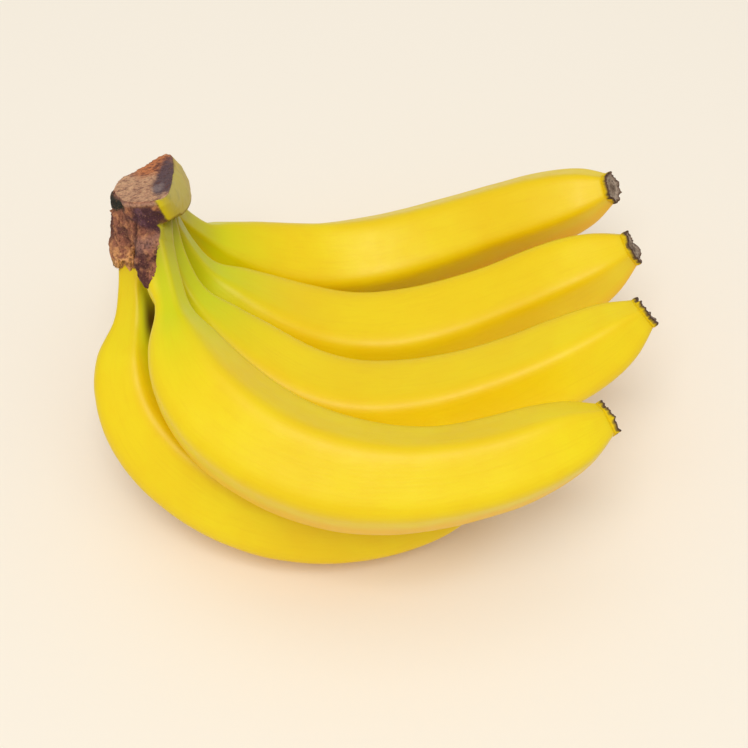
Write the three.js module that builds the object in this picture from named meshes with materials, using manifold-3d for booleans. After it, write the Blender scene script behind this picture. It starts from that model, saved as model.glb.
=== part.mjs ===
// A hand of five bananas: the fingers grow from one crown, and each ends in a dried blossom end.
// Millimetres, +Z up. +X runs from the crown to the tips, +Y to the far side, z = 0 is the table.
import * as THREE from 'three';
import { mergeVertices } from 'three/addons/utils/BufferGeometryUtils.js';
import Module from 'manifold-3d';

const wasm = await Module();
wasm.setup();

// Driving dimensions of each banana, the back one first and the one underneath last.
// stem is where the neck leaves the crown, heading its first direction [azimuth, pitch], and lean
// turns the side it curves towards. bend is the turn in each sixth of the length, sway the sideways
// turning rate at the neck, middle and tip, and facets the roll of the five faces at neck and tip.
// neck says how much thicker than usual a neck is.
const bananas = [
  { stem: [-76.4, 41.5, 74.5], heading: [42.5, -61], lean: 30.5, bend: [8, 32.5, 35, 20, -0.5, 7],
    sway: [16, 6, 24], length: 210, girth: 34, facets: [12, 16] },
  { stem: [-75.9, 30.5, 78.5], heading: [-23.5, -64.5], lean: -27.5, bend: [13, 29, 30.5, 21.5, 2, 2.5],
    sway: [0, -5, 12], length: 209, girth: 37, facets: [-5, 34] },
  { stem: [-75.9, 21, 85.5], heading: [-68, -46], lean: -67, bend: [18.5, 24, 34, 17.5, 7, 13.5],
    sway: [-11, -2, -1], length: 215, girth: 35, facets: [30, 35] },
  { stem: [-76.4, 9.5, 89], heading: [-73.5, -20], lean: -81, bend: [-2.5, 34.5, 23.5, 22.5, 16.5, 8],
    sway: [0, -2, 9], length: 208, girth: 35, facets: [29, 42] },
  { stem: [-85.9, 16, 76], heading: [-93, -42.5], lean: -87.5, bend: [-4.5, 49, 18.5, 23.5, 23.5, 8.5],
    sway: [6, -10, -7], length: 196, girth: 31.5, facets: [30, 45], neck: 1.19 },
];
const lowest = bananas[bananas.length - 1];

// How the girth changes from neck to tip: [share of the length, share of the full girth]
const girthAlong = [
  [0, 0.32], [0.06, 0.3], [0.12, 0.36], [0.18, 0.67], [0.25, 0.9], [0.36, 1.03],
  [0.55, 1.02], [0.74, 0.89], [0.86, 0.81], [0.94, 0.62], [1, 0.27],
];

const faceCount = 5;          // a banana has five soft faces
const ridgeSharpness = 9;     // power that rounds the ridges between them
const sidesPerFace = 4;
const stations = 34;          // rings along one banana
const rootDepth = 6;          // how far a neck is drawn past its stem point before it is cut
const neckFade = [0.13, 0.24]; // shares of the length over which a thick neck becomes normal
const endLength = 2.4;        // dried blossom end, part of the banana's length
const gap = 0.3;              // clearance between pieces that touch
const turnSteps = 240;        // fine steps for following a centre line
const rimSides = 20;          // sides of a dried blossom end
const rimWaves = [[3, 0.03], [7, 0.02]]; // raggedness of its rim: [waves, share of the radius]
const padSides = 30;          // sides of the crown's pad
const lobeSides = 16;         // sides of its foot and torn strip
const roomSize = [36, 54, 40];   // space over the necks for the pad: across, along the row, up
const tableSize = [400, 400, 20]; // space below the table top

// Crown: the piece of stalk that the necks grow from. Its own axes are up, along the row of
// necks (front to back) and across (to the tips), measured from the middle of the row.
const crownCentre = [-76.15, 25.5, 82];
const crownUp = [-0.23, 0.47, 0.86];
const crownRow = [0, 0.914, -0.406];

// The pad over the row, as closed outlines of [across, along the row] at each height; tilt raises
// an outline towards the far end
const padOutlines = [
  { height: -2, tilt: 0, outline: [
    [5, -22], [-4, -23], [-9, -13], [-10, -4], [-9, 5], [-7, 14], [-3, 23], [4, 23], [8, 8], [7, -8]] },
  { height: 2, tilt: 0, outline: [
    [6.5, -20], [-4.5, -22], [-10.5, -13], [-12, -4], [-10, 5], [-7, 15], [-2, 22.5], [6, 21.5],
    [9.5, 7], [9, -7]] },
  { height: 5.5, tilt: 0, outline: [
    [7, -19], [-4.5, -20.5], [-11.5, -13], [-13.5, -4], [-11, 5], [-7, 14], [0, 22], [8.5, 20],
    [11.5, 7], [11, -6]] },
  { height: 11, tilt: 0.03, outline: [
    [8.5, -22.5], [-4.5, -21], [-11.5, -13], [-14, -5], [-12.5, 4], [-6.5, 12], [1.5, 20.5], [9.5, 18.5],
    [12, 8], [12, -8]] },
  { height: 16, tilt: 0.06, outline: [
    [8.8, -26], [-4.5, -22.5], [-11, -14], [-13.2, -6], [-12, 4], [-5.5, 11], [1.5, 19], [8.5, 19],
    [10.8, 10], [11.4, -9]] },
  { height: 20.6, tilt: 0.105, outline: [
    [8.6, -27.5], [-4, -23.2], [-9.4, -14.2], [-11.5, -7], [-10.6, 2.6], [-4.4, 8.7], [2.1, 17.2], [6, 18.2],
    [9, 5], [10.3, -9]] },
];

// The corky foot that ends on the neck of the lowest banana: [height, row, across] of the middle
const footRings = [
  { middle: [13, -5, -9.5], along: 7.5, across: 6.5 },
  { middle: [6, -5, -11.2], along: 9, across: 7 },
  { middle: [0, -5.5, -12.2], along: 9.3, across: 7.4 },
  { middle: [-4.5, -6.5, -12.6], along: 8.6, across: 7.5 },
];
const footEnd = { share: 0.015, along: 7.4, across: 8.2, shift: -0.6 };

// The torn strip of a banana that was broken off, down the neck of the front one
const tongueRings = [
  { middle: [6, -19, -2.5], along: 4, across: 4.8 },
  { middle: [-2, -23.5, -4], along: 3.4, across: 4 },
  { middle: [-8, -26.8, -3.8], along: 2.8, across: 2.9 },
  { middle: [-11.6, -28.6, -3.7], along: 1.5, across: 1.5 },
];

const peel = { color: 0xf3c613, roughness: 0.48, metalness: 0 };
const cork = { color: 0x8a5a3a, roughness: 0.9, metalness: 0 };
const driedEnd = { color: 0x4a3a30, roughness: 0.95, metalness: 0 };

const rad = THREE.MathUtils.degToRad;

const up = new THREE.Vector3(...crownUp).normalize();
const row = new THREE.Vector3(...crownRow).addScaledVector(up, -up.dot(new THREE.Vector3(...crownRow)));
row.normalize();
const across = new THREE.Vector3().crossVectors(row, up);

// Value at x on a smooth curve through [x, y] pairs
function smoothThrough(pairs, x) {
  const slope = (i) => {
    const [a, b] = [pairs[Math.max(i - 1, 0)], pairs[Math.min(i + 1, pairs.length - 1)]];
    return (b[1] - a[1]) / (b[0] - a[0]);
  };
  let k = 0;
  while (k < pairs.length - 2 && x > pairs[k + 1][0]) k += 1;
  const [[x0, y0], [x1, y1]] = [pairs[k], pairs[k + 1]];
  const h = x1 - x0;
  const u = (x - x0) / h;
  const v = 1 - u;
  return y0 * (1 + 2 * u) * v * v + y1 * u * u * (3 - 2 * u)
    + h * u * v * (slope(k) * v - slope(k + 1) * u);
}

// Value at x on straight lines through [x, y] pairs, level beyond both ends
function linearThrough(pairs, x) {
  if (x <= pairs[0][0]) return pairs[0][1];
  for (let k = 1; k < pairs.length; k += 1) {
    const [[x0, y0], [x1, y1]] = [pairs[k - 1], pairs[k]];
    if (x <= x1) return y0 + (y1 - y0) * (x - x0) / (x1 - x0);
  }
  return pairs[pairs.length - 1][1];
}

// Centre line of a banana: a function of the share of its length that gives the point and axes there
function centreLine({ stem, heading, lean, bend, sway, length }) {
  const [azimuth, pitch] = heading.map(rad);
  const start = new THREE.Vector3(...stem);
  const ahead = new THREE.Vector3(
    Math.cos(pitch) * Math.cos(azimuth), Math.cos(pitch) * Math.sin(azimuth), Math.sin(pitch));
  const inner = new THREE.Vector3(
    -Math.sin(pitch) * Math.cos(azimuth), -Math.sin(pitch) * Math.sin(azimuth), Math.cos(pitch));
  inner.applyAxisAngle(ahead, rad(lean));
  const aside = new THREE.Vector3().crossVectors(ahead, inner);
  const bendRate = bend.map((turn, i) => [(i + 0.5) / bend.length, rad(turn) * bend.length]);
  const swayRate = sway.map((turn, i) => [i / (sway.length - 1), rad(turn)]);
  const mix = (a, b, c) => new THREE.Vector3()
    .addScaledVector(ahead, a).addScaledVector(inner, b).addScaledVector(aside, c);
  const axesAt = (turned, swayed) => {
    const [cosTurn, sinTurn] = [Math.cos(turned), Math.sin(turned)];
    const tangent = mix(cosTurn * Math.cos(swayed), sinTurn * Math.cos(swayed), Math.sin(swayed));
    const normal = mix(-sinTurn, cosTurn, 0);
    return { tangent, normal, side: new THREE.Vector3().crossVectors(tangent, normal) };
  };

  const frames = [];
  const point = start.clone();
  let [turned, swayed] = [0, 0];
  for (let i = 0; i <= turnSteps; i += 1) {
    frames.push({ point: point.clone(), ...axesAt(turned, swayed) });
    const middle = (i + 0.5) / turnSteps;
    const turn = linearThrough(bendRate, middle) / turnSteps;
    const drift = linearThrough(swayRate, middle) / turnSteps;
    point.addScaledVector(axesAt(turned + turn / 2, swayed + drift / 2).tangent, length / turnSteps);
    turned += turn;
    swayed += drift;
  }
  return (share) => {
    const place = THREE.MathUtils.clamp(share, 0, 1) * turnSteps;
    const i = Math.min(Math.floor(place), turnSteps - 1);
    const blend = (key) => frames[i][key].clone().lerp(frames[i + 1][key], place - i);
    return {
      point: blend('point'), tangent: blend('tangent'), normal: blend('normal'), side: blend('side') };
  };
}

// Distance from the middle of a section to its skin at an angle, for a face distance of 1
function facetReach(angle, roll) {
  let sum = 0;
  for (let k = 0; k < faceCount; k += 1) {
    const facing = Math.cos(angle - roll - k * 2 * Math.PI / faceCount);
    sum += Math.max(facing, 0) ** ridgeSharpness;
  }
  return sum ** (-1 / ridgeSharpness);
}

// Closed solid through rings of points, each ring the same way round, with a fan on both ends
function loftGeometry(rings) {
  const count = rings[0].length;
  const middle = (ring) => ring.reduce((sum, p) => sum.add(p), new THREE.Vector3()).divideScalar(count);
  const points = [...rings.flat(), middle(rings[0]), middle(rings[rings.length - 1])];
  const firstMiddle = points.length - 2;
  const lastMiddle = points.length - 1;
  const lastRing = (rings.length - 1) * count;
  const index = [];
  for (let j = 0; j < count; j += 1) {
    const next = (j + 1) % count;
    for (let i = 0; i < rings.length - 1; i += 1) {
      const [a, b] = [i * count + j, i * count + next];
      index.push(a, b, b + count, a, b + count, a + count);
    }
    index.push(firstMiddle, next, j, lastMiddle, lastRing + j, lastRing + next);
  }
  return new THREE.BufferGeometry().setFromPoints(points).setIndex(index);
}

function toSolid(geometry) {
  const bare = geometry.clone();
  bare.deleteAttribute('normal');
  bare.deleteAttribute('uv');
  const merged = mergeVertices(bare, 1e-4);
  return new wasm.Manifold(new wasm.Mesh({
    numProp: 3,
    vertProperties: new Float32Array(merged.attributes.position.array),
    triVerts: new Uint32Array(merged.index.array),
  }));
}

function toGeometry(solid) {
  const pieces = solid.decompose().sort((a, b) => b.volume() - a.volume());
  const mesh = pieces[0].getMesh();
  const geometry = new THREE.BufferGeometry();
  geometry.setAttribute('position', new THREE.BufferAttribute(mesh.vertProperties, 3));
  geometry.setIndex(new THREE.BufferAttribute(mesh.triVerts, 1));
  geometry.computeVertexNormals();
  return geometry;
}

// Ring of points round a frame of the centre line; reach gives the distance at each angle
function ringAt({ point, normal, side }, sides, reach) {
  return Array.from({ length: sides }, (_, j) => {
    const angle = j * 2 * Math.PI / sides;
    return point.clone()
      .addScaledVector(normal, reach(angle) * Math.cos(angle))
      .addScaledVector(side, reach(angle) * Math.sin(angle));
  });
}

// Points round the skin of a banana at a share of its length
function skinRing(banana, frame, share, sides, change) {
  const thicker = linearThrough([[neckFade[0], banana.neck ?? 1], [neckFade[1], 1]], share);
  const radius = banana.girth / 2 * thicker * smoothThrough(girthAlong, share);
  const roll = rad(THREE.MathUtils.lerp(...banana.facets, share));
  return ringAt(frame, sides, (angle) => change(radius * facetReach(angle, roll), angle));
}

// Peel and flesh of one banana, from the crown to its blossom end, grown by some clearance
function bananaSolid(banana, grow = 0) {
  const line = centreLine(banana);
  const firstShare = banana === lowest ? footEnd.share : 0;
  const lastShare = 1 - (endLength + gap) / banana.length;
  const sides = faceCount * sidesPerFace;
  const ring = (frame, share) => skinRing(banana, frame, share, sides, (reach) => reach + grow);
  const rings = [];
  if (banana !== lowest) {
    const root = line(0);
    root.point.addScaledVector(up, rootDepth);
    rings.push(ring(root, 0));
  }
  for (let i = 0; i <= stations; i += 1) {
    const share = THREE.MathUtils.lerp(firstShare, lastShare, i / stations);
    rings.push(ring(line(share), share));
  }
  return toSolid(loftGeometry(rings));
}

// Dried blossom end: a ragged rim with a sunken face, [distance out, share of the tip's radius]
function blossomEnd(banana) {
  const profile = [
    [0, 0.99], [0.9, 1.02], [endLength, 0.96], [endLength - 0.4, 0.74], [endLength - 1.2, 0.45]];
  const frame = centreLine(banana)(1);
  const tipShare = 1 - endLength / banana.length;
  const rings = profile.map(([out, share]) => {
    const point = frame.point.clone().addScaledVector(frame.tangent, out - endLength);
    return skinRing(banana, { ...frame, point }, tipShare, rimSides, (reach, angle) => {
      const ragged = rimWaves.reduce(
        (sum, [waves, height]) => sum + height * Math.sin(waves * angle + banana.length), 1);
      return reach * share * ragged;
    });
  });
  return toSolid(loftGeometry(rings));
}

function crownPoint(height, alongRow, acrossRow) {
  return new THREE.Vector3(...crownCentre)
    .addScaledVector(up, height).addScaledVector(row, alongRow).addScaledVector(across, acrossRow);
}

// Rounded ring through a few corner points of the pad
function padRing({ height, tilt, outline }) {
  const curve = new THREE.CatmullRomCurve3(
    outline.map(([w, l]) => new THREE.Vector3(w, l, 0)), true, 'centripetal');
  return curve.getPoints(padSides).slice(0, padSides).reverse()
    .map((p) => crownPoint(height + tilt * p.y, p.y, p.x));
}

function ovalRing({ middle, along, across: wide }) {
  const [height, alongRow, acrossRow] = middle;
  return Array.from({ length: lobeSides }, (_, j) => {
    const angle = j * 2 * Math.PI / lobeSides;
    return crownPoint(height, alongRow + along * Math.cos(angle), acrossRow + wide * Math.sin(angle));
  });
}

// Last ring of the foot, square to the neck of the lowest banana and just short of it
function footEndRing() {
  const { point, tangent } = centreLine(lowest)(footEnd.share);
  point.addScaledVector(tangent, -gap);
  const toRow = row.clone().addScaledVector(tangent, -row.dot(tangent)).normalize();
  const toSide = new THREE.Vector3().crossVectors(tangent, toRow);
  return Array.from({ length: lobeSides }, (_, j) => {
    const angle = j * 2 * Math.PI / lobeSides;
    return point.clone()
      .addScaledVector(toRow, footEnd.along * Math.cos(angle))
      .addScaledVector(toSide, footEnd.shift + footEnd.across * Math.sin(angle));
  });
}

function crownSolid() {
  const pad = toSolid(loftGeometry(padOutlines.map(padRing)));
  const foot = toSolid(loftGeometry([...footRings.map(ovalRing), footEndRing()]));
  const tongue = toSolid(loftGeometry(tongueRings.map(ovalRing)));
  let lobes = foot.add(tongue);
  bananas.forEach((banana) => {
    lobes = lobes.subtract(bananaSolid(banana, gap));
  });
  return pad.add(lobes);
}

// The room over the row of necks, whose flat underside lies just below the pad
const padRoom = toSolid(new THREE.BoxGeometry(...roomSize)
  .translate(0, 0, padOutlines[0].height - gap + roomSize[2] / 2)
  .applyMatrix4(new THREE.Matrix4().makeBasis(across, row, up).setPosition(...crownCentre)));

// Everything below the table, which leaves each resting banana a small flat spot
const belowTable = toSolid(new THREE.BoxGeometry(...tableSize).translate(0, 0, -tableSize[2] / 2));

function addPiece(name, solid, finish) {
  const mesh = new THREE.Mesh(toGeometry(solid), new THREE.MeshStandardMaterial(finish));
  mesh.name = name;
  hand.add(mesh);
}

const hand = new THREE.Group();
addPiece('crown', crownSolid(), cork);
bananas.forEach((banana, i) => {
  let solid = bananaSolid(banana).subtract(belowTable);
  if (banana !== lowest) solid = solid.subtract(padRoom);
  bananas.slice(0, i).forEach((earlier) => {
    solid = solid.subtract(bananaSolid(earlier, gap));
  });
  addPiece(`banana_${i + 1}`, solid, peel);
  addPiece(`blossom_end_${i + 1}`, blossomEnd(banana), driedEnd);
});

export default hand;
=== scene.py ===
import math
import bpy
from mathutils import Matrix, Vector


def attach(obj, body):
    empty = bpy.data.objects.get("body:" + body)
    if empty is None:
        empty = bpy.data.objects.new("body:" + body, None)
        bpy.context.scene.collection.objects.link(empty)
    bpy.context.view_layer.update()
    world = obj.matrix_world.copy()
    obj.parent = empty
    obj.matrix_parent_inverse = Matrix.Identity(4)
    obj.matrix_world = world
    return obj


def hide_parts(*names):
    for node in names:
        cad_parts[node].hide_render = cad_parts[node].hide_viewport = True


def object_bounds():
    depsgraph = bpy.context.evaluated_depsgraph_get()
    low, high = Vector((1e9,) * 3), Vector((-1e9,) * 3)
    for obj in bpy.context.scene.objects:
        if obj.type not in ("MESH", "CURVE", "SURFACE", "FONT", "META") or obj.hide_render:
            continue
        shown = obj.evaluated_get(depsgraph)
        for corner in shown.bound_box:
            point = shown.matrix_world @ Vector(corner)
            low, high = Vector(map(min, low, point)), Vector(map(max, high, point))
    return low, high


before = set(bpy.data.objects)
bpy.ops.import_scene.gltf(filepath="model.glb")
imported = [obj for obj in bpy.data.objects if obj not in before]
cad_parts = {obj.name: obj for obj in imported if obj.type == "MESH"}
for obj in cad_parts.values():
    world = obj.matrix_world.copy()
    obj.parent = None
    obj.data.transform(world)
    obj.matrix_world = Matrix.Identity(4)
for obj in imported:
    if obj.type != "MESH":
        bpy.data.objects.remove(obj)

from types import SimpleNamespace

import bpy
import numpy as np
from mathutils import Vector, noise

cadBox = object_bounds()
mm = 0.001


def linearRgb(hexText):
    values = [int(hexText[i:i + 2], 16) / 255 for i in (1, 3, 5)]
    return [v / 12.92 if v <= 0.04045 else ((v + 0.055) / 1.055) ** 2.4 for v in values]


def unit(v):
    v = np.asarray(v, float)
    return v / np.linalg.norm(v, axis=-1, keepdims=True)


def circleAngles(count):
    return np.arange(count) * 2 * math.pi / count


def smoothstep(a, b, x):
    t = np.clip((x - a) / (b - a), 0, 1)
    return t * t * (3 - 2 * t)


def hump(x, width):  # 1 where x is 0, fading to nothing on both sides
    return np.exp(-(x / width) ** 2)


def noiseAt(points, scale, octaves=3, seed=0.0):  # about -1 to 1, features about as big as scale
    shift = Vector((seed, seed * 0.7, -seed))
    return np.array([noise.fractal(Vector(p) / scale + shift, 0.6, 2.0, octaves) for p in points])


def addPiece(name, mesh):
    mesh.shade_smooth()
    piece = bpy.data.objects.new(name, mesh)
    bpy.context.scene.collection.objects.link(piece)
    return piece


def makeMesh(name, points, faces):
    mesh = bpy.data.meshes.new(name)
    mesh.from_pydata([tuple(p) for p in points], [], faces)
    mesh.validate()
    mesh.update()
    return addPiece(name, mesh)


def insideBox(points):  # mm, kept within the solids' box
    low, high = (np.array([corner[i] for i in range(3)]) / mm for corner in cadBox)
    return np.clip(points, low, high)


def addValues(piece, name, values):
    layer = piece.data.attributes.new(name, "FLOAT", "POINT")
    layer.data.foreach_set("value", np.asarray(values, np.float32))


def addColours(piece, name, colours):
    rgba = np.ones((len(colours), 4), np.float32)
    rgba[:, :3] = colours
    layer = piece.data.color_attributes.new(name, "FLOAT_COLOR", "POINT")
    layer.data.foreach_set("color", rgba.ravel())


def loftFaces(rings, sides):
    faces = []
    for i in range(rings - 1):
        for j in range(sides):
            k = (j + 1) % sides
            faces.append((i * sides + j, i * sides + k, (i + 1) * sides + k, (i + 1) * sides + j))
    faces.append(tuple(range(sides))[::-1])
    faces.append(tuple((rings - 1) * sides + j for j in range(sides)))
    return faces


# Shader helpers
def newMaterial(name, surface):  # surface holds the shader's own fixed values
    material = bpy.data.materials.new(name)
    material.use_nodes = True
    shader = material.node_tree.nodes["Principled BSDF"]
    for socket, value in surface.items():
        shader.inputs[socket].default_value = value
    return material, material.node_tree, shader


def addNode(tree, kind, settings=None, **links):
    node = tree.nodes.new(kind)
    for key, value in (settings or {}).items():
        if hasattr(node, key):
            setattr(node, key, value)
        else:
            node.inputs[key].default_value = value
    for key, source in links.items():
        tree.links.new(source, node.inputs[key.replace("_", " ")])
    return node


def plug(tree, socket, value):  # a link, a hex colour or a number
    if isinstance(value, bpy.types.NodeSocket):
        tree.links.new(value, socket)
    elif isinstance(value, str):
        socket.default_value = (*linearRgb(value), 1)
    else:
        socket.default_value = value


def mixColours(tree, factor, first, second):
    node = addNode(tree, "ShaderNodeMix", {"data_type": "RGBA"})
    for place, value in ((0, factor), (6, first), (7, second)):
        plug(tree, node.inputs[place], value)
    return node.outputs[2]


def product(tree, first, second):
    node = addNode(tree, "ShaderNodeMath", {"operation": "MULTIPLY"})
    for place, value in enumerate((first, second)):
        plug(tree, node.inputs[place], value)
    return node.outputs[0]


def ramp(tree, source, stops):  # each stop is a place and a grey value or a hex colour
    node = tree.nodes.new("ShaderNodeValToRGB")
    while len(node.color_ramp.elements) < len(stops):
        node.color_ramp.elements.new(0.5)
    for element, (place, value) in zip(node.color_ramp.elements, stops):
        element.position = place
        element.color = (*linearRgb(value), 1) if isinstance(value, str) else (value, value, value, 1)
    tree.links.new(source, node.inputs[0])
    return node.outputs[0]


def attribute(tree, name, output="Fac"):
    return addNode(tree, "ShaderNodeAttribute", {"attribute_name": name}).outputs[output]


def noiseTexture(tree, size, detail=3, vector=None):  # size is in mm of the real thing
    settings = {"Scale": 1 / (size * mm), "Detail": detail, "Roughness": 0.55}
    if vector is None:
        vector = addNode(tree, "ShaderNodeTexCoord").outputs["Object"]
    return addNode(tree, "ShaderNodeTexNoise", settings, Vector=vector).outputs[0]


def bump(tree, height, depth, strength, under=None):  # depth is in mm
    node = addNode(tree, "ShaderNodeBump", {"Distance": depth * mm, "Strength": strength}, Height=height)
    if under is not None:
        tree.links.new(under, node.inputs["Normal"])
    return node.outputs[0]


# Bananas: the same centre lines and sections as the solids, with many more points, all in mm.
# A neck starts at stem. heading is its compass and pitch, lean the side it bends to, bend the turn in
# each sixth of the length, sway the drift to the side, and facets the roll of its faces, in degrees.
# green is how green the neck is, root how far it runs on into the crown as (up, row, across), and
# swell where it is pressed broad against its neighbour.
fruit = {
    "bananas": [
        {"stem": (-76.4, 41.5, 74.5), "heading": (42.5, -61), "lean": 30.5,
         "bend": (8, 32.5, 35, 20, -0.5, 7), "sway": (16, 6, 24),
         "length": 210, "girth": 34, "facets": (12, 16), "green": 0.8, "root": (4.6, -1, 1)},
        {"stem": (-75.9, 30.5, 78.5), "heading": (-23.5, -64.5), "lean": -27.5,
         "bend": (13, 29, 30.5, 21.5, 2, 2.5), "sway": (0, -5, 12),
         "length": 209, "girth": 37, "facets": (-5, 34), "green": 1.0, "root": (6.2, 0, 1.2)},
        {"stem": (-75.9, 21, 85.5), "heading": (-68, -46), "lean": -67,
         "bend": (18.5, 24, 34, 17.5, 7, 13.5), "sway": (-11, -2, -1),
         "length": 215, "girth": 35, "facets": (30, 35), "green": 1.0, "root": (5, 0, 1)},
        {"stem": (-76.4, 9.5, 89), "heading": (-73.5, -20), "lean": -81,
         "bend": (-2.5, 34.5, 23.5, 22.5, 16.5, 8), "sway": (0, -2, 9),
         "length": 208, "girth": 35, "facets": (29, 42), "green": 0.9, "root": (7.6, 3, 2),
         "swell": {"along": (0.03, 0.1), "height": 1.7, "towards": (-0.9, 0, -0.4), "shade": 0}},
        {"stem": (-85.9, 16, 76), "heading": (-93, -42.5), "lean": -87.5,
         "bend": (-4.5, 49, 18.5, 23.5, 23.5, 8.5), "sway": (6, -10, -7),
         "length": 196, "girth": 31.5, "facets": (30, 45), "green": 0.9, "neck": 1.19,
         # shade is how much painted shade darkens the pressed side
         "swell": {"along": (0.05, 0.17), "height": 2.4, "towards": (1, 0, 0.1), "shade": 1},
         "greenSide": (-0.1, 0.4)},
    ],
    "noSwell": {"along": (0, 1), "height": 0, "towards": (1, 0, 0), "shade": 0},
    # share of the length and share of the girth
    "girthAlong": ((0, 0.32), (0.06, 0.3), (0.12, 0.36), (0.18, 0.67), (0.25, 0.9), (0.36, 1.03),
                   (0.55, 1.02), (0.74, 0.89), (0.86, 0.81), (0.94, 0.62), (1, 0.27)),
    "faces": 5,
    "ridgeSharpness": 9,
    "rings": 210,
    "sides": 90,
    "steps": 240,                    # steps that a centre line is summed in
    "neckFade": (0.13, 0.24),        # a thick neck fades into the body here
    "endLength": 2.4,                # dried blossom end
    "rootShare": 0.86,               # a neck narrows where it runs up into the crown
    "lumpSize": 26,                  # slow unevenness of a grown fruit
    "lumpHeight": 0.25,
    "lumpSeed": 7.3,
    "lumpsFrom": (0.0, 0.12),
    "inset": 0.35,                   # keeps the uneven skin within the solid
    "swellSide": (0.1, 0.9),         # how far round a swell or its shade reaches
    "shadeSide": (0.6, 0.9),
    "ridgeReach": (1.05, 1.14),      # section reach that counts as a ridge
    "greenTowards": (1, 0.3, -0.1),  # the shaded side of a neck stays green
    "greenSide": (-0.95, -0.45),
    "greenLeast": 0.3,
    # painted shade: how far a face must point down before it is coloured deeper orange
    "undersideShadeFrom": (-0.05, -0.6),
}


def smoothThrough(pairs, x):
    xs, ys = np.array(pairs, float).T
    last = len(xs) - 1
    slopes = np.array([(ys[min(i + 1, last)] - ys[max(i - 1, 0)]) / (xs[min(i + 1, last)] - xs[max(i - 1, 0)])
                       for i in range(len(xs))])
    k = np.clip(np.searchsorted(xs, x, side="left") - 1, 0, len(xs) - 2)
    h = xs[k + 1] - xs[k]
    u = (x - xs[k]) / h
    v = 1 - u
    return (ys[k] * (1 + 2 * u) * v * v + ys[k + 1] * u * u * (3 - 2 * u)
            + h * u * v * (slopes[k] * v - slopes[k + 1] * u))


def centreLine(banana):  # gives a function from shares of the length to points and directions
    azimuth, pitch = np.radians(banana["heading"])
    level = np.array((math.cos(azimuth), math.sin(azimuth), 0))
    rise = np.array((0, 0, 1))
    ahead = math.cos(pitch) * level + math.sin(pitch) * rise
    flat = -math.sin(pitch) * level + math.cos(pitch) * rise
    lean = math.radians(banana["lean"])
    inner = flat * math.cos(lean) + np.cross(ahead, flat) * math.sin(lean)
    aside = np.cross(ahead, inner)
    steps, bend, sway = fruit["steps"], np.array(banana["bend"]), banana["sway"]
    stretches = len(bend)
    middles = (np.arange(steps) + 0.5) / steps
    bendPlaces = (np.arange(stretches) + 0.5) / stretches
    turn = np.radians(np.interp(middles, bendPlaces, bend * stretches)) / steps
    drift = np.radians(np.interp(middles, (0, 0.5, 1), sway)) / steps
    turned, swayed = np.concatenate(([0], turn.cumsum())), np.concatenate(([0], drift.cumsum()))

    def tangentAt(t, s):
        return (np.outer(np.cos(t) * np.cos(s), ahead) + np.outer(np.sin(t) * np.cos(s), inner)
                + np.outer(np.sin(s), aside))

    halfway = tangentAt(turned[:-1] + turn / 2, swayed[:-1] + drift / 2) * banana["length"] / steps
    points = np.array(banana["stem"], float) + np.vstack((np.zeros(3), halfway.cumsum(axis=0)))
    tangents = tangentAt(turned, swayed)
    normals = np.outer(-np.sin(turned), ahead) + np.outer(np.cos(turned), inner)
    knots = np.linspace(0, 1, steps + 1)

    def at(shares):
        point, tangent, normal = (np.column_stack([np.interp(shares, knots, table[:, c]) for c in range(3)])
                                  for table in (points, tangents, normals))
        return point, unit(tangent), unit(normal), unit(np.cross(tangent, normal))
    return at


def facetReach(angles, roll):
    faces, sharpness = fruit["faces"], fruit["ridgeSharpness"]
    total = 0
    for k in range(faces):
        total = total + np.maximum(np.cos(angles - roll - k * 2 * math.pi / faces), 0) ** sharpness
    return total ** (-1 / sharpness)


def skinReach(banana, shares, angles):  # a row for each share: the reach of its section, and its shape alone
    first, final = banana["facets"]
    roll = np.radians(first + (final - first) * shares)
    shape = facetReach(angles[None, :], roll[:, None])
    thicker = np.interp(shares, fruit["neckFade"], (banana.get("neck", 1), 1))
    radius = banana["girth"] / 2 * thicker * smoothThrough(fruit["girthAlong"], shares)
    return radius[:, None] * shape, shape


def endShare(banana):  # where the peel stops and the blossom end starts
    return 1 - fruit["endLength"] / banana["length"]


def swellAt(swell, shares, circle, sideBand):  # 0 to 1, most in the middle of the pressed side
    first, final = swell["along"]
    over = np.sin(math.pi * np.clip((shares - first) / (final - first), 0, 1))
    return over[:, None], smoothstep(*sideBand, circle @ unit(swell["towards"]))


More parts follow.
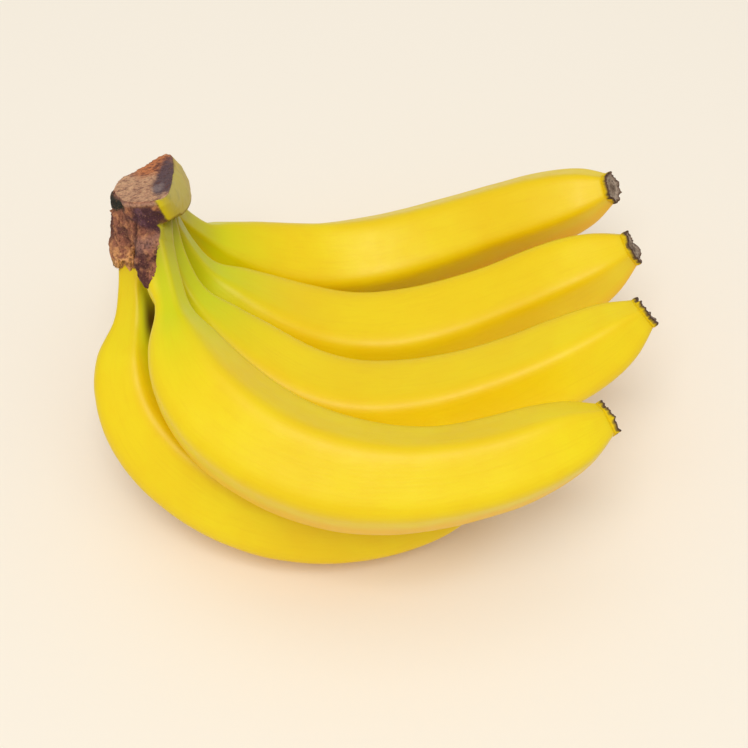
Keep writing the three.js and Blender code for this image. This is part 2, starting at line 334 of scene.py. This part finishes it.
def buildFruit(number, banana):
    rings, sides = fruit["rings"], fruit["sides"]
    shares = endShare(banana) * np.linspace(0, 1, rings)
    point, _, normal, side = centreLine(banana)(shares)
    angles = circleAngles(sides)
    out, shape = skinReach(banana, shares, angles)
    circle = (normal[:, None, :] * np.cos(angles)[None, :, None]
              + side[:, None, :] * np.sin(angles)[None, :, None])
    points = point[:, None, :] + circle * out[:, :, None]
    lumps = noiseAt(points.reshape(-1, 3), fruit["lumpSize"], 2, number * fruit["lumpSeed"])
    lumps = lumps.reshape(rings, sides)
    calm = smoothstep(*fruit["lumpsFrom"], shares)[:, None]
    points = points + circle * (lumps * fruit["lumpHeight"] * calm - fruit["inset"])[:, :, None]
    swell = banana.get("swell", fruit["noSwell"])
    over, pressed = swellAt(swell, shares, circle, fruit["swellSide"])
    points = points + circle * (swell["height"] * over * pressed)[:, :, None]
    points = points.reshape(-1, 3)
    if "root" in banana:   # the neck runs on into the crown
        middle = points[:sides].mean(axis=0)
        up, row, across = banana["root"]
        shift = crownUp * up + crownRow * row + crownAcross * across
        root = middle + shift + (points[:sides] - middle) * fruit["rootShare"]
        points = np.vstack((root, points))
        shares = np.concatenate(([0], shares))
        shape, circle = np.vstack((shape[:1], shape)), np.concatenate((circle[:1], circle))
        rings += 1
    points = insideBox(points)   # soft peel flattens where it rests
    piece = makeMesh(f"fruit_{number}", points * mm, loftFaces(rings, sides))
    along = np.repeat(shares, sides)
    green = smoothstep(*banana.get("greenSide", fruit["greenSide"]), circle @ unit(fruit["greenTowards"]))
    over, pressed = swellAt(swell, shares, circle, fruit["shadeSide"])
    addValues(piece, "along", along)
    addValues(piece, "lengthwise", along * banana["length"] * mm)
    addValues(piece, "aroundX", np.tile(np.cos(angles), rings) * banana["girth"] / 2 * mm)
    addValues(piece, "aroundY", np.tile(np.sin(angles), rings) * banana["girth"] / 2 * mm)
    addValues(piece, "ridge", smoothstep(*fruit["ridgeReach"], shape.ravel()))
    least = fruit["greenLeast"]
    addValues(piece, "green", banana["green"] * (least + (1 - least) * green.ravel()))
    # painted shade, dark brown on the side pressed against the neighbouring neck
    addValues(piece, "shade", (over * pressed * swell["shade"]).ravel())
    # painted shade: faces that point down are marked for a deeper orange
    addValues(piece, "undersideShade", smoothstep(*fruit["undersideShadeFrom"], circle[:, :, 2].ravel()))
    piece.data.materials.append(peel)
    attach(piece, "root")
    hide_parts(f"banana_{number}")


# Blossom ends: a torn rim of dried peel round a sunken face
blossomEnd = {
    "sides": 96,
    "fit": 0.985,               # share of the skin's reach that the whole end takes
    "coarseWaves": 2.6,
    "coarseSeed": 5.1,
    "fineWaves": 8,
    "fineSeed": 3.7,
    "fineShare": 0.6,
    "tear": (0.9, 0.45, -0.1),  # height of coarse and fine tearing, and a shift of both
    # from the skin to the middle: place past the tip, share of the skin's reach, how ragged, how torn
    "profile": ((-2.6, 0.97, 0.0, 0), (-2.3, 1.0, 0.02, 0), (-1.5, 1.01, 0.05, 0.9), (-0.7, 1.0, 0.07, 0.9),
                (-0.3, 0.94, 0.07, 0.9), (-0.5, 0.86, 0.05, 0.9), (-1.0, 0.76, 0.04, 0.4),
                (-1.3, 0.6, 0.03, 0.4), (-1.2, 0.42, 0.03, 0.4), (-0.9, 0.26, 0.04, 0.4),
                (-0.8, 0.12, 0.03, 0.4)),
    "peelUpTo": (-1.1, -2.0),   # the outer wall is still yellow below this
    "outerShare": 0.9,
    "peelAmount": 1.3,
    "peelRagged": 0.6,
}


def buildBlossomEnd(number, banana):
    sides, profile = blossomEnd["sides"], blossomEnd["profile"]
    point, tangent, normal, side = (v[0] for v in centreLine(banana)(np.array([1.0])))
    angles = circleAngles(sides)
    skin = skinReach(banana, np.array([endShare(banana)]), angles)[0][0]
    ring = np.column_stack((np.cos(angles), np.sin(angles)))
    coarse, thin = ring * blossomEnd["coarseWaves"], ring * blossomEnd["fineWaves"]
    coarseSeed, fineSeed = number * blossomEnd["coarseSeed"], number * blossomEnd["fineSeed"]
    ragged = np.array([noise.fractal(Vector((x, y, coarseSeed)), 0.7, 2.1, 4) for x, y in coarse])
    fine = np.array([noise.noise(Vector((x, y, fineSeed))) for x, y in thin])
    coarseTear, fineTear, tearShift = blossomEnd["tear"]
    tear = coarseTear * ragged + fineTear * fine + tearShift
    rows = []
    for back, share, rough, torn in profile:
        reach = skin * (share + rough * ragged + rough * blossomEnd["fineShare"] * fine) * blossomEnd["fit"]
        rows.append(point + np.outer(back + tear * torn, tangent) + np.outer(reach * ring[:, 0], normal)
                    + np.outer(reach * ring[:, 1], side))
    points = insideBox(np.vstack(rows))
    piece = makeMesh(f"dried_tip_{number}", points * mm, loftFaces(len(rows), sides))
    addValues(piece, "inward", np.repeat([1 - share for _, share, _, _ in profile], sides))
    wall = np.repeat([smoothstep(*blossomEnd["peelUpTo"], back) * (share > blossomEnd["outerShare"])
                      for back, share, _, _ in profile], sides)
    uneven = blossomEnd["peelRagged"] * np.tile(ragged, len(profile)) * (wall > 0)
    addValues(piece, "peelWall", np.clip(wall * blossomEnd["peelAmount"] + uneven, 0, 1))
    piece.data.materials.append(driedBlossom)
    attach(piece, "root")
    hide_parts(f"blossom_end_{number}")


# Ripe peel: waxy skin, a clean saturated yellow with lime-green necks and a soft satin shine
peelLook = {
    "body": ("#efce06", "#f2d80a"),
    "bodyPatches": 38,
    "bodyShare": ((0.35, 0.0), (0.7, 1.0)),
    "warm": "#eec400",
    "warmPatches": 9,
    "warmShare": ((0.4, 0.0), (0.75, 0.35)),
    "neck": ((0.0, "#a5a520"), (0.05, "#bcc20a"), (0.14, "#cdd400"), (0.3, "#e6d400")),
    "neckShare": ((0.0, 1.0), (0.14, 0.9), (0.31, 0.0)),
    "fibre": "#ddb000",
    "fibreWidth": 1.1,
    "fibreShorten": 0.08,      # fibres run about 12 times as long as wide
    "fibreShare": ((0.5, 0.0), (0.8, 0.16)),
    "fibreBump": (0.12, 0.5),  # depth in mm and strength
    "ridge": "#e3b000",
    "ridgeShare": 0.16,
    # painted shade: deeper orange on the lower faces
    "undersideShade": "#f6b300",
    "undersideShadeShare": 0.55,
    # painted shade, dark brown between two pressed necks
    "shade": "#4a3208",        # deep between two necks
    "tip": "#b98a1a",          # browning beside the blossom end
    "tipShare": ((0.974, 0.0), (0.986, 0.1), (0.989, 0.2)),
    "satinPatches": 5,
    "satin": ((0.3, 0.4), (0.7, 0.5)),
    "pores": 0.9,
    "poreBump": (0.05, 0.5),
    "surface": {
        "Specular IOR Level": 0.36,
        "Specular Tint": (1.0, 0.93, 0.65, 1),
        "Subsurface Weight": 0.12,
        "Subsurface Radius": (1.0, 0.8, 0.05),
        "Subsurface Scale": 0.003,
        "Coat Weight": 0.14,
        "Coat Roughness": 0.35,
    },
}


def peelMaterial():
    look = peelLook
    material, tree, shader = newMaterial("ripe_banana_peel", look["surface"])
    along = attribute(tree, "along")
    patches = ramp(tree, noiseTexture(tree, look["bodyPatches"], 2), look["bodyShare"])
    warmth = ramp(tree, noiseTexture(tree, look["warmPatches"]), look["warmShare"])
    body = mixColours(tree, warmth, mixColours(tree, patches, *look["body"]), look["warm"])
    green = product(tree, ramp(tree, along, look["neckShare"]), attribute(tree, "green"))
    colour = mixColours(tree, green, body, ramp(tree, along, look["neck"]))
    lengthwise = product(tree, attribute(tree, "lengthwise"), look["fibreShorten"])
    around = addNode(tree, "ShaderNodeCombineXYZ", None, X=attribute(tree, "aroundX"),
                     Y=attribute(tree, "aroundY"), Z=lengthwise)
    fibres = noiseTexture(tree, look["fibreWidth"], 4, around.outputs[0])
    colour = mixColours(tree, ramp(tree, fibres, look["fibreShare"]), colour, look["fibre"])
    # ridge colour, and painted shade on the lower faces
    for name in ("ridge", "undersideShade"):
        share = product(tree, attribute(tree, name), look[name + "Share"])
        colour = mixColours(tree, share, colour, look[name])
    colour = mixColours(tree, attribute(tree, "shade"), colour, look["shade"])
    colour = mixColours(tree, ramp(tree, along, look["tipShare"]), colour, look["tip"])
    satin = ramp(tree, noiseTexture(tree, look["satinPatches"]), look["satin"])
    pores = bump(tree, noiseTexture(tree, look["pores"]), *look["poreBump"])
    tree.links.new(colour, shader.inputs["Base Color"])
    tree.links.new(satin, shader.inputs["Roughness"])
    tree.links.new(bump(tree, fibres, *look["fibreBump"], pores), shader.inputs["Normal"])
    return material


# Dried blossom end: brittle dark rim with a grey-brown fibrous face
driedLook = {
    "face": ((0.0, "#5a4335"), (0.1, "#6e5546"), (0.26, "#b09c88"), (0.85, "#84705e")),  # rim to middle
    "mottle": "#33251d",
    "mottleSize": 0.9,
    "mottleShare": ((0.45, 0.0), (0.65, 0.7)),
    "mottleBump": (0.5, 0.9),
    "peel": "#efca0c",
    "surface": {"Roughness": 0.9, "Specular IOR Level": 0.2},
}


def driedMaterial():
    look = driedLook
    material, tree, shader = newMaterial("dried_blossom_remains", look["surface"])
    mottled = noiseTexture(tree, look["mottleSize"], 4)
    face = ramp(tree, attribute(tree, "inward"), look["face"])
    colour = mixColours(tree, ramp(tree, mottled, look["mottleShare"]), face, look["mottle"])
    colour = mixColours(tree, attribute(tree, "peelWall"), colour, look["peel"])
    tree.links.new(colour, shader.inputs["Base Color"])
    tree.links.new(bump(tree, mottled, *look["mottleBump"]), shader.inputs["Normal"])
    return material


# Crown: its own axes are up, along the row of necks and across towards the tips, in mm
crown = {
    "centre": (-76.15, 25.5, 82),
    "up": (-0.23, 0.47, 0.86),
    "row": (0, 0.914, -0.406),
    "sides": 48,
    # each outline of the pad: height, tilt towards the far end, and its corners as (across, along the row)
    "pad": (
        (-2, 0, ((5, -22), (-4, -23), (-9, -13), (-10, -4), (-9, 5), (-7, 14), (-3, 23), (4, 23), (8, 8),
                 (7, -8))),
        (2, 0, ((6.5, -20), (-4.5, -22), (-10.5, -13), (-12, -4), (-10, 5), (-7, 15), (-2, 22.5), (6, 21.5),
                (9.5, 7), (9, -7))),
        (5.5, 0, ((7, -19), (-4.5, -20.5), (-11.5, -13), (-13.5, -4), (-11, 5), (-7, 14), (0, 22), (8.5, 20),
                  (11.5, 7), (11, -6))),
        (11, 0.03, ((8.5, -22.5), (-4.5, -21), (-11.5, -13), (-14, -5), (-12.5, 4), (-6.5, 12), (1.5, 20.5),
                    (9.5, 18.5), (12, 8), (12, -8))),
        (16, 0.06, ((8.8, -26), (-4.5, -22.5), (-11, -14), (-13.2, -6), (-12, 4), (-5.5, 11), (1.5, 19),
                    (8.5, 19), (10.8, 10), (11.4, -9))),
        (20.6, 0.105, ((8.6, -27.5), (-4, -23.2), (-9.4, -14.2), (-11.5, -7), (-10.6, 2.6), (-4.4, 8.7),
                       (2.1, 17.2), (6, 18.2), (9, 5), (10.3, -9))),
    ),
    # (height, row, across) of the middle, then the radii along the row and across
    "foot": (((13, -5, -9.5), 7.5, 6.5), ((6, -5, -11.2), 9, 7), ((0, -5.5, -12.2), 9.3, 7.4),
             ((-4.5, -6.5, -12.6), 8.6, 7.5)),
    "footEnd": {"share": 0.015, "along": 7.4, "across": 8.2, "shift": -0.6},
    "tongue": (((6, -19, -2.5), 4, 4.8), ((-2, -23.5, -4), 3.4, 4), ((-8, -26.8, -3.8), 2.8, 2.9),
               ((-11.6, -28.6, -3.7), 1.5, 1.5)),
    "voxel": 0.42,
    "soften": 0.5,
    "softenRounds": 5,
}
crownUp = unit(crown["up"])
crownRow = unit(np.array(crown["row"]) - crownUp * np.dot(crownUp, crown["row"]))
crownAcross = np.cross(crownRow, crownUp)
crownAxes = np.vstack((crownUp, crownRow, crownAcross))


def crownPoints(height, row, across):
    return (np.array(crown["centre"], float) + np.outer(height, crownUp) + np.outer(row, crownRow)
            + np.outer(across, crownAcross))


def closedCurve(corners, count):  # smooth ring through the corners
    p = np.array(corners, float)
    n = len(p)
    chord = np.sqrt(np.linalg.norm(np.roll(p, -1, axis=0) - p, axis=1))
    knots = np.concatenate(([0], chord.cumsum()))
    result = []
    for t in np.arange(count) / count * knots[-1]:
        i = min(int(np.searchsorted(knots, t, side="right")) - 1, n - 1)
        a, b, c, d = p[i - 1], p[i], p[(i + 1) % n], p[(i + 2) % n]
        before, here, after = chord[i - 1], chord[i], chord[(i + 1) % n]
        u = (t - knots[i]) / here
        slopeB = ((b - a) / before - (c - a) / (before + here) + (c - b) / here) * here
        slopeC = ((c - b) / here - (d - b) / (here + after) + (d - c) / after) * here
        result.append((2 * u ** 3 - 3 * u * u + 1) * b + (u ** 3 - 2 * u * u + u) * slopeB
                      + (3 * u * u - 2 * u ** 3) * c + (u ** 3 - u * u) * slopeC)
    return np.array(result)


def footEndLine():  # where the torn foot ends on the lowest banana's neck
    lowest = centreLine(fruit["bananas"][-1])
    point, tangent, _, _ = (v[0] for v in lowest(np.array([crown["footEnd"]["share"]])))
    return point, tangent


def ovalRings(rings, angles):
    sides = len(angles)
    return [crownPoints(np.full(sides, height), row + along * np.cos(angles), across + wide * np.sin(angles))
            for (height, row, across), along, wide in rings]


def roughCrown():  # pad, foot and torn strip as three closed bodies, made one skin
    sides = crown["sides"]
    angles = circleAngles(sides)
    pad = []
    for height, tilt, outline in crown["pad"]:
        ring = closedCurve(outline, sides)
        pad.append(crownPoints(height + tilt * ring[:, 1], ring[:, 1], ring[:, 0])[::-1])
    foot, tongue = ovalRings(crown["foot"], angles), ovalRings(crown["tongue"], angles)
    end = crown["footEnd"]
    point, tangent = footEndLine()
    toRow = unit(crownRow - tangent * np.dot(tangent, crownRow))
    toSide = np.cross(tangent, toRow)
    foot.append(point + np.outer(end["along"] * np.cos(angles), toRow)
                + np.outer(end["shift"] + end["across"] * np.sin(angles), toSide))
    points, faces = [], []
    for rings in (pad, foot, tongue):   # each starts after the points before it
        first = len(points)
        points += [p for ring in rings for p in ring]
        faces += [tuple(first + i for i in face) for face in loftFaces(len(rings), sides)]
    rough = makeMesh("crown_rough", np.array(points) * mm, faces)
    remesh = rough.modifiers.new("one_skin", "REMESH")
    remesh.mode = "VOXEL"
    remesh.voxel_size = crown["voxel"] * mm
    soften = rough.modifiers.new("soften", "SMOOTH")
    soften.factor = crown["soften"]
    soften.iterations = crown["softenRounds"]
    mesh = bpy.data.meshes.new_from_object(rough.evaluated_get(bpy.context.evaluated_depsgraph_get()))
    bpy.data.objects.remove(rough)
    return mesh


# The crown's skin. Places are in mm on the crown's own axes, and a pair is the start and the end of a
# soft edge
crownSkin = {
    # noises: size of the features, octaves, seed
    "wander": (7, 3, 3.1),
    "grain": (2.6, 4, 8.6),
    "pits": (1.1, 2, 5.4),
    "streaks": (2.4, 3, 1.7),
    "streakLength": 4,          # torn fibres run down the stalk
    "streakWidth": 0.09,
    "cutHeight": 20.6,          # sawn top face
    "cutTilt": 0.105,
    "cutEdge": (-2.4, -0.9),
    "cutFacing": (0.35, 0.65),
    "shoulderFrom": 7.1,        # smooth skin on the side towards the tips
    "shoulderEdge": (-0.7, 0.7),
    "shoulderLean": 1.4,
    "collar": 5.3,              # lower edge of the smooth shoulder, higher at the near end
    "collarRise": 1.8,
    "neckFront": (2.5, 4.5),
    "neckGaps": (11.4, -0.3, -11.5),
    "neckRadius": 0.14,         # share of a banana's girth
    "lipHeight": 19.0,          # thickened edge under the cut face
    "grooveFrom": 4.6,          # groove beside the torn strip
    "grooveWidth": 0.8,
    # stains and scars: middle as (up, row, across), sizes, softness
    "scar": ((11, -22, 1.0), (5.6, 6.0, 6.6), 0.2),
    "sunken": ((19.5, -8, 6), (6, 12, 3.4), 0.3),
    "rusty": ((21, 9, 1.5), (9, 10, 7.5), 0.35),
    "bruise": ((20, -6, 7.6), (8, 18, 4.6), 0.2),
    "ashen": ((19, -13, 5.0), (6, 4, 2.2), 0.35),
    # how far each form stands out, or sinks in
    "grainHeight": 0.32,
    "pitHeight": 0.14,
    "inset": 0.35,
    "crackDepth": 0.55,
    "lipRise": 0.45,
    "scarDepth": 0.6,
    "stripRise": 0.9,
    "waistDepth": 1.0,
    "grooveDepth": 1.0,
    "footDepth": 0.9,
    "hollowRise": 1.7,
    "hollowDepth": 0.6,
    "shoulderHeight": 0.2,
    "sunkenDepth": 0.9,
    "tornGrain": 2.2,           # ragged lower edge of the foot
    "tornWander": 1.2,
}


def patch(z, middle, sizes, softness):  # 1 inside an oval patch of the surface, 0 outside
    away = sum(((v - m) / size) ** 2 for v, m, size in zip((z.up, z.row, z.across), middle, sizes)) ** 0.5
    return smoothstep(1 + softness, 1 - softness, away + 0.25 * z.wander)


def crownZones(co, normals):  # shares from 0 to 1 for each part of the skin
    skin = crownSkin
    z = SimpleNamespace()
    local = co - np.array(crown["centre"])
    z.up, z.row, z.across = up, row, across = local @ crownUp, local @ crownRow, local @ crownAcross
    z.wander = wander = noiseAt(co, *skin["wander"])
    z.grain = grain = noiseAt(co, *skin["grain"])
    z.pits = noiseAt(co, *skin["pits"])
    z.streaks = noiseAt(np.column_stack((up / skin["streakLength"], row, across)), *skin["streaks"])
    climb = skin["cutTilt"] * row

    z.cut = (smoothstep(*skin["cutEdge"], up - skin["cutHeight"] - climb)
             * smoothstep(*skin["cutFacing"], normals @ crownUp))
    lean = skin["shoulderLean"] * smoothstep(8, 18, up)
    z.shoulder = (smoothstep(*skin["shoulderEdge"], across - skin["shoulderFrom"] - 0.9 * wander + lean)
                  * (1 - z.cut))
    # hollow at the left end, under the cut face, painted near black as shade
    z.hollow = (smoothstep(13.0, 14.6, up + 1.1 * wander + 0.4 * grain)
                * smoothstep(19.7, 18.5, up - climb + 0.5 * grain)
                * smoothstep(-6.8, -8.6, across + 0.6 * wander)
                * smoothstep(1, -5, row + 2 * wander) * (1 - z.cut))
    # the stalk draws in between the hollow and the foot
    z.waist = smoothstep(-13, -16, across) * smoothstep(1, 4, up) * smoothstep(15, 12, up)
    # torn edge over the lowest banana's neck
    z.torn = smoothstep(-3.0, -6.5, up) * smoothstep(-6.5, -8.5, across)
    # torn strip at the near end, and the groove beside it
    z.strip = smoothstep(3, -3, up) * smoothstep(-18, -22, row)
    grooveLine = across + skin["grooveFrom"] + 0.3 * (10 - up) + 0.5 * wander
    z.groove = (hump(grooveLine, skin["grooveWidth"]) * smoothstep(12.5, 9.5, up)
                * smoothstep(-6, -3, up) * smoothstep(-11, -13, row))
    z.scar = patch(z, *skin["scar"]) * (1 - z.cut) * (1 - z.shoulder)
    z.collar = skin["collar"] + skin["collarRise"] * smoothstep(-8, -17, row) + 0.7 * wander
    # green necks below the shoulder, and painted shade in the gaps between them
    z.necks = smoothstep(0.4, -0.4, up - z.collar) * smoothstep(*skin["neckFront"], across + 0.5 * wander)
    z.between = sum(hump(row - place, 1.1) for place in skin["neckGaps"]) * z.necks
    z.cracks = (smoothstep(skin["streakWidth"], 0.0, np.abs(z.streaks)) * (1 - z.shoulder) * (1 - z.cut)
                * (1 - z.necks) * (1 - z.scar))
    z.lip = (hump(up - skin["lipHeight"] - climb, 0.9) * smoothstep(0.2, 0.6, -(normals @ crownRow))
             * (1 - z.shoulder))
    z.corky = np.clip(1 - z.shoulder - z.necks, 0, 1)
    return z


def drawnToNecks(co, z):  # under the collar the skin follows the four necks
    under = smoothstep(0.5, -0.5, z.up - z.collar) * smoothstep(0.5, 2.5, z.across)
    fronts = []
    for banana in fruit["bananas"][:-1]:
        _, place, front = crownAxes @ (np.array(banana["stem"]) - crown["centre"])
        radius = banana["girth"] * crownSkin["neckRadius"]
        bulge = np.sqrt(np.maximum(radius * radius - (z.row - place) ** 2, (0.3 * radius) ** 2))
        fronts.append(front + bulge)
    return co - np.outer(under * np.maximum(z.across - np.max(fronts, axis=0), 0), crownAcross)


def reliefOf(z):  # mm along the normals
    skin = crownSkin
    push = (z.corky * (skin["grainHeight"] * z.grain + skin["pitHeight"] * z.pits - skin["inset"])
            * (1 - 0.6 * z.scar))
    push += (z.hollow * (skin["hollowRise"] * smoothstep(-9, -12, z.across) - skin["hollowDepth"])
             - skin["crackDepth"] * z.cracks + skin["lipRise"] * z.lip - skin["scarDepth"] * z.scar)
    push += (skin["stripRise"] * z.strip - skin["waistDepth"] * z.waist - skin["grooveDepth"] * z.groove
             + z.torn * (-skin["footDepth"] * smoothstep(-12, -15, z.across)))
    push += z.shoulder * (skin["shoulderHeight"] * z.wander - skin["shoulderHeight"])
    push -= z.cut * skin["sunkenDepth"] * patch(z, *skin["sunken"])
    return push


def paintOver(base, layers):  # each layer is a colour and its share at every point
    for hexText, share in layers:
        base = base * (1 - share[:, None]) + np.array(linearRgb(hexText)) * share[:, None]
    return base


def crownPaint(z):
    up, row, across, wander, grain, cut = z.up, z.row, z.across, z.wander, z.grain, z.cut
    rusty = cut * patch(z, *crownSkin["rusty"])
    foot = smoothstep(3, -4, up) * smoothstep(-6, -9, across)
    cork = paintOver(np.tile(linearRgb("#9a6048"), (len(up), 1)), (
        # torn cork, pale where the grain stands out, yellower at the foot and dark on the strip
        ("#c58659", smoothstep(-0.1, 0.4, grain) * 0.8),
        ("#5b332f", smoothstep(0.0, 0.5, -wander) * smoothstep(-3, 6, up) * 0.85),
        ("#e0a268", foot * smoothstep(-0.45, 0.15, grain) * 0.95),
        ("#d9a860", z.torn * smoothstep(-0.5, 0.3, -wander) * 0.7),
        ("#4a2426", smoothstep(-20, -24, row) * smoothstep(5, 2, up) * smoothstep(0.25, -0.25, wander) * 0.9),
        ("#a5796a", smoothstep(-19, -22, row) * smoothstep(-2, 3, up) * smoothstep(6, 3, up) * 0.6),
        ("#3c1d1c", np.maximum(z.cracks * 0.75, z.groove * 0.85)),
        # smooth healed scar
        ("#4d2b35", z.scar),
        ("#7b5360", z.scar * smoothstep(0.1, 0.6, z.streaks) * 0.55),
        # cut face with its rusty far end, its bruise and a thin vein
        ("#c79876", cut),
        ("#dcae84", cut * smoothstep(0.0, 0.5, grain) * 0.6),
        ("#9c6650", cut * smoothstep(0.12, 0.0, np.abs(wander - 0.1)) * 0.6),
        ("#c67442", rusty * 0.9),
        ("#6d3a2c", rusty * smoothstep(0.0, 0.4, -grain) * 0.8),
        ("#54424a", cut * patch(z, *crownSkin["bruise"]) * 0.95),
        ("#8b7a78", cut * patch(z, *crownSkin["ashen"]) * 0.7),
        ("#6b4038", cut * smoothstep(0.25, 0.6, -grain) * 0.6),
        ("#b98d76", z.lip * 0.8),
        # painted shade filling the hollow under the cut face
        ("#22261b", z.hollow),
    ))
    khaki = paintOver(np.tile(linearRgb("#c3b246"), (len(up), 1)), (
        ("#d0ab3c", smoothstep(0, 10, row) * 0.5),
        ("#d9c40c", smoothstep(10.5, 6.5, across) * smoothstep(-12, -19, row) * 0.95),
        ("#a59a4a", smoothstep(0.1, 0.6, wander) * 0.45),
    ))
    collarLine = hump(up - z.collar - 0.7, 0.5) * smoothstep(*crownSkin["neckFront"], across)
    return paintOver(cork * (1 - z.shoulder[:, None]) + khaki * z.shoulder[:, None], (
        ("#4a2f22", hump(z.shoulder - 0.5, 0.2) * (1 - z.necks) * 0.6),   # edge of the cork
        ("#b0a823", z.necks),
        # painted shade in the gaps between the necks
        ("#5d5410", z.between * 0.85),
        ("#7a5426", collarLine * 0.75),
    ))


def buildCrown():
    mesh = roughCrown()
    piece = addPiece("stalk_crown", mesh)
    flat = np.zeros(len(mesh.vertices) * 3)
    mesh.vertices.foreach_get("co", flat)
    co = flat.reshape(-1, 3) / mm
    mesh.vertices.foreach_get("normal", flat)
    normals = flat.reshape(-1, 3)
    z = crownZones(co, normals)
    ragged = z.torn * (crownSkin["tornGrain"] * z.grain + crownSkin["tornWander"] * z.wander)
    co = drawnToNecks(co, z) + normals * reliefOf(z)[:, None] + np.outer(ragged, footEndLine()[1])
    mesh.vertices.foreach_set("co", (insideBox(co) * mm).ravel())
    mesh.update()
    addColours(piece, "paint", crownPaint(z))
    addValues(piece, "corky", z.corky)
    mesh.materials.clear()
    mesh.materials.append(stalkCork)
    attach(piece, "root")
    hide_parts("crown")


# Dried stalk: matt pitted cork with dark stains, beside smooth skin that is still khaki
corkLook = {
    "speckle": "#38201b",
    "speckleSize": 0.8,
    "speckleShare": ((0.38, 0.38), (0.52, 0.0)),
    "fleck": "#dba06a",
    "fleckSize": 0.5,
    "fleckShare": ((0.6, 0.0), (0.72, 0.4)),
    "roughness": ((0.0, 0.5), (1.0, 0.88)),   # smooth skin to cork
    "bump": (0.4, 0.8),
    "surface": {"Specular IOR Level": 0.35},
}


def corkMaterial():
    look = corkLook
    material, tree, shader = newMaterial("dried_corky_stalk", look["surface"])
    paint, corky = attribute(tree, "paint", "Color"), attribute(tree, "corky")
    speckle = noiseTexture(tree, look["speckleSize"], 4)
    flecks = ramp(tree, noiseTexture(tree, look["fleckSize"], 2), look["fleckShare"])
    cork = mixColours(tree, ramp(tree, speckle, look["speckleShare"]), paint, look["speckle"])
    cork = mixColours(tree, flecks, cork, look["fleck"])
    tree.links.new(mixColours(tree, corky, paint, cork), shader.inputs["Base Color"])
    tree.links.new(ramp(tree, corky, look["roughness"]), shader.inputs["Roughness"])
    tree.links.new(bump(tree, product(tree, speckle, corky), *look["bump"]), shader.inputs["Normal"])
    return material


print("materials")
peel = peelMaterial()
driedBlossom = driedMaterial()
stalkCork = corkMaterial()

print("fruit")
for index, item in enumerate(fruit["bananas"], 1):
    buildFruit(index, item)
    buildBlossomEnd(index, item)

print("crown")
buildCrown()

print("stage")
studio = {
    "floor": "#f7eedf",
    "floorReach": 6,
    "floorHeight": -0.0002,   # just under the fruit
    "floorSurface": {"Roughness": 0.9, "Specular IOR Level": 0.0},
    "sky": (1.0, 1.0, 1.0),
    "skyStrength": 0.55,
    "lampColour": (1.0, 1.0, 0.99),
    "lampAim": (0, 0, 0.04),
    "lamps": {                # place, size and power
        "softbox_above": ((0, -0.05, 1.3), 0.9, 2),
        "softbox_front": ((-0.2, -1.5, 3.05), 1.6, 51),
    },
    "camera": (-0.0004, -0.4218, 0.53393),
    "cameraTilt": 40,
    "lens": 85,
    "sensor": 36,
}
floorCorners = [(x * studio["floorReach"], y * studio["floorReach"], studio["floorHeight"])
                for x, y in ((-1, -1), (1, -1), (1, 1), (-1, 1))]
floor = makeMesh("floor", floorCorners, [(0, 1, 2, 3)])
floorMaterial, _, floorShader = newMaterial("plain_pale_floor", studio["floorSurface"])
floorShader.inputs["Base Color"].default_value = (*linearRgb(studio["floor"]), 1)
floor.data.materials.append(floorMaterial)

scene = bpy.context.scene
world = bpy.data.worlds.new("soft_room")
world.use_nodes = True
background = world.node_tree.nodes["Background"]
background.inputs[0].default_value = (*studio["sky"], 1)
background.inputs[1].default_value = studio["skyStrength"]
scene.world = world
scene.view_settings.view_transform = "Standard"


def softbox(name, place, size, power):
    lamp = bpy.data.lights.new(name, "AREA")
    lamp.shape = "SQUARE"
    lamp.size = size
    lamp.energy = power
    lamp.color = studio["lampColour"]
    holder = bpy.data.objects.new(name, lamp)
    holder.location = place
    aim = Vector(studio["lampAim"]) - Vector(place)
    holder.rotation_euler = aim.to_track_quat("-Z", "Y").to_euler()
    scene.collection.objects.link(holder)


for name, (place, size, power) in studio["lamps"].items():
    softbox(name, place, size, power)

lens = bpy.data.cameras.new("camera")
lens.lens = studio["lens"]
lens.sensor_width = studio["sensor"]
camera = bpy.data.objects.new("camera", lens)
camera.location = studio["camera"]
camera.rotation_euler = (math.radians(studio["cameraTilt"]), 0, 0)
scene.collection.objects.link(camera)
scene.camera = camera
